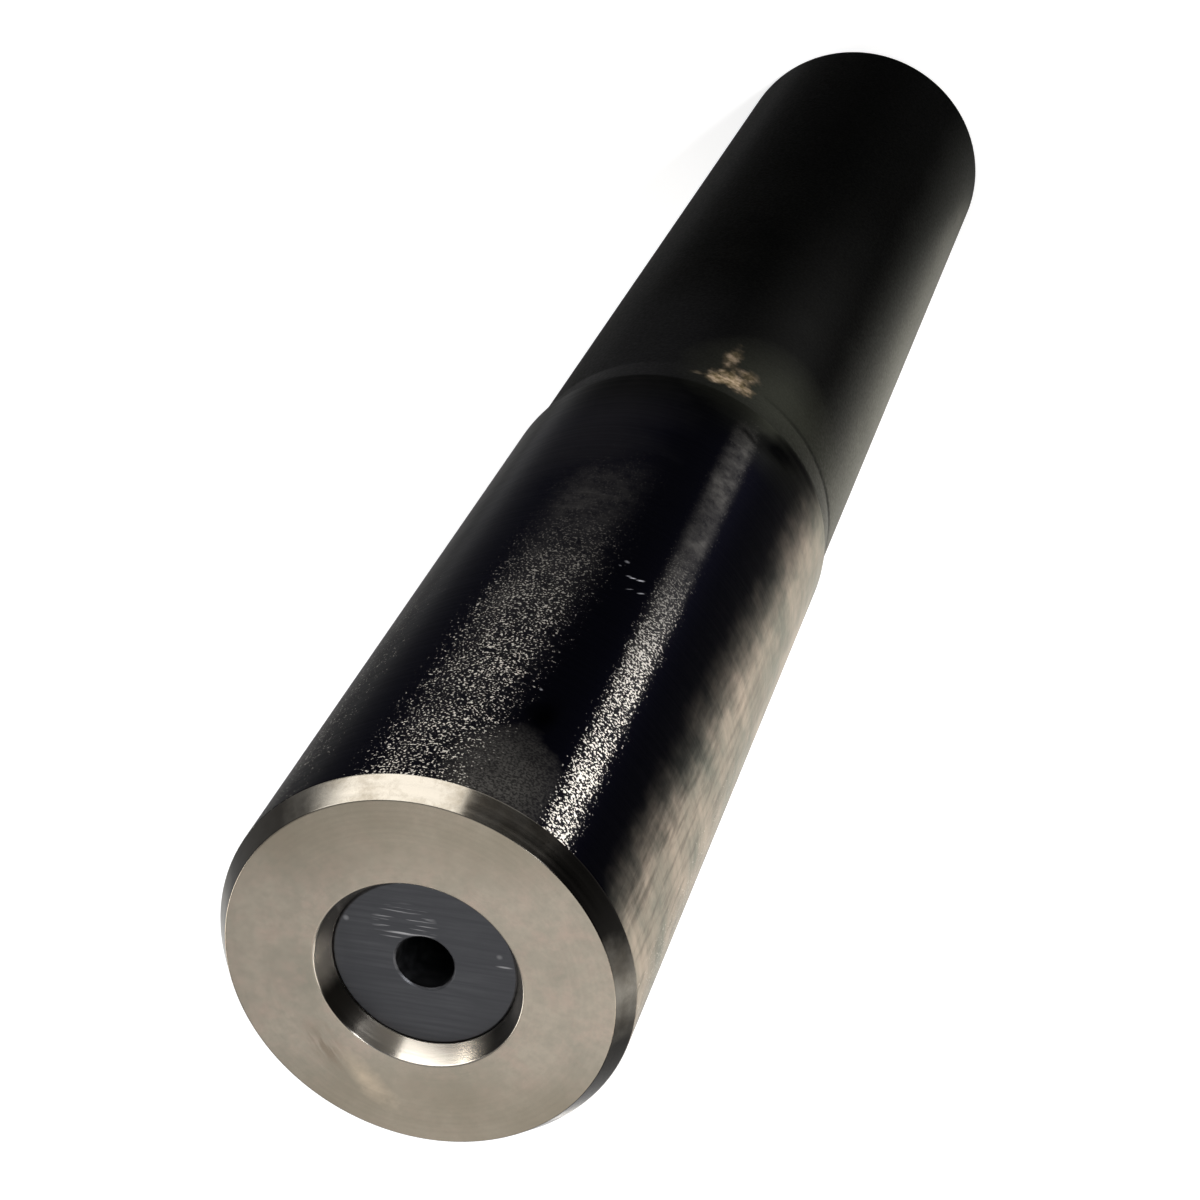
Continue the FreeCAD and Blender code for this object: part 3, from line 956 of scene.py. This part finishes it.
SPOT_SOFT_EDGE = (1.1, 0.4)
# Fine marks shown pale in one patch above the hole: a painted highlight.
LINED_HIGHLIGHT_PATCH = (-0.6 * MM, 2.1 * MM, 1.5 * MM, 1.1 * MM)
PLUG_SPOTS = (
    # x, y, half width along the marks, half width across them; strength
    ((3.86 * MM, -0.05 * MM, 0.42 * MM, 0.06 * MM), 0.6),
    ((-3.41 * MM, 2.37 * MM, 0.16 * MM, 0.16 * MM), 0.35),
    ((3.70 * MM, 0.50 * MM, 0.16 * MM, 0.14 * MM), 0.25),
)

plug_finish, tree, shader, place = new_finish("dark_blue_grey")
marks = noise(tree, place, 1.0, detail=4.0, stretch=MARKS_STRETCH, turn=MARKS_TURN)
lines = noise(tree, place, 1.0, stretch=LINES_STRETCH, turn=MARKS_TURN)
cloud = noise(tree, place, PLUG_CLOUD, detail=4.0, roughness=0.6)
marked = ramp(tree, marks, *MARKS_RANGE)
marked = calculate(tree, "MULTIPLY", marked, spread(tree, cloud, *PLUG_UNEVEN))
metal = blend_colours(tree, marked, PLUG_DARK, PLUG_PALE)
# The painted highlight patch of pale lines, with the real spots laid on top.
off = off_patch(tree, place, LINED_HIGHLIGHT_PATCH, PLUG_FACE, MARKS_TURN)
lined = ramp(tree, lines, *LINES_RANGE)
scratched = calculate(tree, "MULTIPLY", ramp(tree, off, *SPOT_SOFT_EDGE), lined)
for patch, strength in PLUG_SPOTS:
    off = off_patch(tree, place, patch, PLUG_FACE, MARKS_TURN)
    spot = ramp(tree, off, *SPOT_SOFT_EDGE, 0.0, strength)
    scratched = calculate(tree, "MAXIMUM", spot, scratched)
metal = blend_colours(tree, scratched, metal, PLUG_SCRATCH_AND_HIGHLIGHT)
set_metal(tree, shader, metal, spread(tree, marks, *PLUG_ROUGH), PLUG_EDGE_TINT)
set_relief(tree, shader, marks, *PLUG_RELIEF)

plug_corners = [
    (PLUG_RADIUS - PLUG_EDGE_BREAK, PLUG_FACE, 0.5),
    (METERING_RADIUS + PLUG_EDGE_BREAK, PLUG_FACE, 0.5),
    (METERING_RADIUS, PLUG_FACE - PLUG_EDGE_BREAK, 0.5),
    (METERING_RADIUS, SOCKET_FLOOR, 1.0),
    (PLUG_RADIUS - PLUG_EDGE_BREAK, SOCKET_FLOOR, 0.5),
    (PLUG_RADIUS, SOCKET_FLOOR + PLUG_EDGE_BREAK, 0.5),
    (PLUG_RADIUS, PLUG_FACE - PLUG_EDGE_BREAK, 0.5),
]
plug_points = softened(plug_corners, EDGE_ROUND)
plug = outline_object("metering_plug", plug_points, [0.0] * len(plug_points))
turn_on_lathe(
    plug,
    lathe,
    {
        "Steps round": PLUG_STEPS_ROUND,
        "Thread bore radius": 0.0,
        "Thread height": 0.0,
        "Thread pitch": THREAD_PITCH,
        "Neck top": ABOVE_ALL,
        "Shank top": ABOVE_ALL,
        "Skin radius": 0.0,
        "Neck finish": plug_finish,
        "Shank finish": plug_finish,
        "Inside finish": plug_finish,
        "End finish": plug_finish,
    },
)
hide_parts("coolant_plug")
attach(plug, "root")

# The floor: a plain pale round sheet that the bar stands on, white where nothing shades it, and
# glowing more towards its rim, where the lamps no longer reach it.
FLOOR_RADIUS = 0.9
FLOOR_CORNERS = 96
FLOOR_COLOUR = (0.66, 0.66, 0.66)
FLOOR_RIM_COLOUR = (0.0, 0.0, 0.0)
FLOOR_LIFT = 0.62
FLOOR_RANGE = (0.16, 0.5)

floor_corners = []
for number in range(FLOOR_CORNERS):
    turn = 2.0 * math.pi * number / FLOOR_CORNERS
    floor_corners.append((FLOOR_RADIUS * math.cos(turn), FLOOR_RADIUS * math.sin(turn), 0.0))
floor_mesh = bpy.data.meshes.new("studio_floor")
floor_mesh.from_pydata(floor_corners, [], [tuple(range(FLOOR_CORNERS))])
floor = bpy.data.objects.new("studio_floor", floor_mesh)
bpy.context.scene.collection.objects.link(floor)
floor_finish, tree, shader, place = new_finish("pale_floor")
from_middle = length_of(tree, place)
outer = smooth_ramp(tree, from_middle, *FLOOR_RANGE)
colour = blend_colours(tree, outer, FLOOR_COLOUR, FLOOR_RIM_COLOUR)
tree.links.new(colour, shader.inputs["Base Color"])
shader.inputs["Roughness"].default_value = 1.0
shader.inputs["Specular IOR Level"].default_value = 0.0
path = add_node(tree, "ShaderNodeLightPath").outputs
seen = calculate(tree, "MAXIMUM", path["Is Camera Ray"], path["Is Glossy Ray"])
seen = calculate(tree, "MAXIMUM", seen, path["Is Transmission Ray"])
glow = smooth_ramp(tree, from_middle, *FLOOR_RANGE, FLOOR_LIFT, 1.0)
lift = add_node(
    tree,
    "ShaderNodeEmission",
    {"Color": (1.0, 1.0, 1.0, 1.0), "Strength": calculate(tree, "MULTIPLY", seen, glow)},
)
both = add_node(tree, "ShaderNodeAddShader", {0: shader.outputs[0], 1: lift.outputs[0]})
tree.links.new(both.outputs[0], tree.nodes["Material Output"].inputs["Surface"])
floor_mesh.materials.append(floor_finish)

# The light: a room that is darker to the right, soft boxes round the bar, a wide low one and a
# narrow upright one for the bar's two streaks, and a bright card lying on the floor to the right.
LIGHT_CENTRE = Vector((0.0, 0.0, 0.09))
SOFT_BOXES = (
    # name, azimuth from +Y towards +X, elevation, distance, width, height, radiance, colour
    ("key_over_face", -172.0, 50.0, 0.70, 0.50, 0.50, 0.56, (1.0, 0.98, 0.95)),
    ("window_front", -20.0, 9.0, 0.60, 0.80, 0.24, 3.6, (1.0, 0.98, 0.95)),
    ("strip_right", 58.0, 38.0, 0.60, 0.06, 0.42, 22.0, (1.0, 1.0, 1.0)),
    ("box_right", 130.0, 30.0, 0.70, 0.50, 0.40, 2.0, (1.0, 0.96, 0.90)),
    ("box_left", -110.0, 22.0, 0.70, 0.30, 0.35, 3.2, (1.0, 0.98, 0.95)),
)
CARD_EDGE_AZIMUTH = 108.0
CARD_LENGTH = 0.20
CARD_WIDTH = 0.14
CARD_START = 0.012
CARD_HEIGHT = 0.002
CARD_RADIANCE = 5.0
CARD_COLOUR = (1.0, 0.94, 0.86)
DOWN = Vector((0.0, 0.0, -1.0))


def area_light(name, width, height, radiance, colour):
    """A rectangular lamp of one radiance, unseen by the camera."""
    lamp = bpy.data.lights.new(name, "AREA")
    lamp.shape = "RECTANGLE"
    lamp.size = width
    lamp.size_y = height
    lamp.color = colour
    lamp.energy = radiance * math.pi * width * height
    light = bpy.data.objects.new(name, lamp)
    light.visible_camera = False
    bpy.context.scene.collection.objects.link(light)
    return light


for name, azimuth, elevation, distance, width, height, radiance, colour in SOFT_BOXES:
    turn = math.radians(azimuth)
    rise = math.radians(elevation)
    level_way = Vector((math.sin(turn), math.cos(turn), 0.0))
    towards = level_way * math.cos(rise) + Vector((0.0, 0.0, math.sin(rise)))
    box = area_light(name, width, height, radiance, colour)
    box.location = LIGHT_CENTRE + towards * distance
    box.rotation_euler = (-towards).to_track_quat("-Z", "Y").to_euler()

card = area_light("floor_card", CARD_LENGTH, CARD_WIDTH, CARD_RADIANCE, CARD_COLOUR)
turn = math.radians(CARD_EDGE_AZIMUTH)
edge_way = Vector((math.sin(turn), math.cos(turn), 0.0))
side_way = Vector((math.cos(turn), -math.sin(turn), 0.0))
centre = edge_way * (CARD_START + 0.5 * CARD_LENGTH) + side_way * (0.5 * CARD_WIDTH)
card_axes = Matrix((edge_way, DOWN.cross(edge_way), DOWN)).transposed()
card.matrix_world = Matrix.Translation((centre.x, centre.y, CARD_HEIGHT)) @ card_axes.to_4x4()

ROOM_PALE = 0.26
ROOM_DARK = 0.04
ROOM_DARK_TOWARDS = 78.0
ROOM_RANGE = (-0.3, 0.85)
CEILING = 0.6
CEILING_RANGE = (0.82, 0.94)
HORIZON_RANGE = (0.0, -0.02)

room = bpy.data.worlds.new("studio_room")
room.use_nodes = True
tree = room.node_tree
way = add_node(tree, "ShaderNodeTexCoord").outputs["Generated"]
split = add_node(tree, "ShaderNodeSeparateXYZ", {0: way}).outputs
turn = math.radians(ROOM_DARK_TOWARDS)
to_dark = calculate(
    tree,
    "ADD",
    calculate(tree, "MULTIPLY", split["X"], math.sin(turn)),
    calculate(tree, "MULTIPLY", split["Y"], math.cos(turn)),
)
walls = ramp(tree, to_dark, *ROOM_RANGE, ROOM_PALE, ROOM_DARK)
ceiling = smooth_ramp(tree, split["Z"], *CEILING_RANGE, 0.0, CEILING)
walls = calculate(tree, "MAXIMUM", walls, ceiling)
below = ramp(tree, split["Z"], *HORIZON_RANGE)
walls = calculate(tree, "MULTIPLY", walls, calculate(tree, "SUBTRACT", 1.0, below))
brightness = calculate(tree, "ADD", walls, below)
tree.links.new(brightness, tree.nodes["Background"].inputs["Strength"])
tree.nodes["Background"].inputs["Color"].default_value = (1.0, 1.0, 1.0, 1.0)
bpy.context.scene.world = room

# The camera: it looks down on the shank end from above, as the photograph does.
CAMERA_PLACE = (0.042983, 0.067711, 0.211527)
CAMERA_RIGHT = Vector((0.95877, -0.12874, -0.25333))
CAMERA_UP = Vector((0.0, 0.89149, -0.45304))
CAMERA_BACK = Vector((0.28417, 0.43437, 0.85474))
CAMERA_LENS = 81.525
CAMERA_SENSOR = 36.0
CAMERA_CLIP = (0.005, 20.0)

camera_data = bpy.data.cameras.new("camera")
camera_data.lens = CAMERA_LENS
camera_data.sensor_width = CAMERA_SENSOR
camera_data.clip_start, camera_data.clip_end = CAMERA_CLIP
camera = bpy.data.objects.new("camera", camera_data)
camera_axes = Matrix((CAMERA_RIGHT, CAMERA_UP, CAMERA_BACK)).transposed()
camera.matrix_world = Matrix.Translation(CAMERA_PLACE) @ camera_axes.to_4x4()
bpy.context.scene.collection.objects.link(camera)
bpy.context.scene.camera = camera
bpy.context.scene.view_settings.view_transform = "Standard"
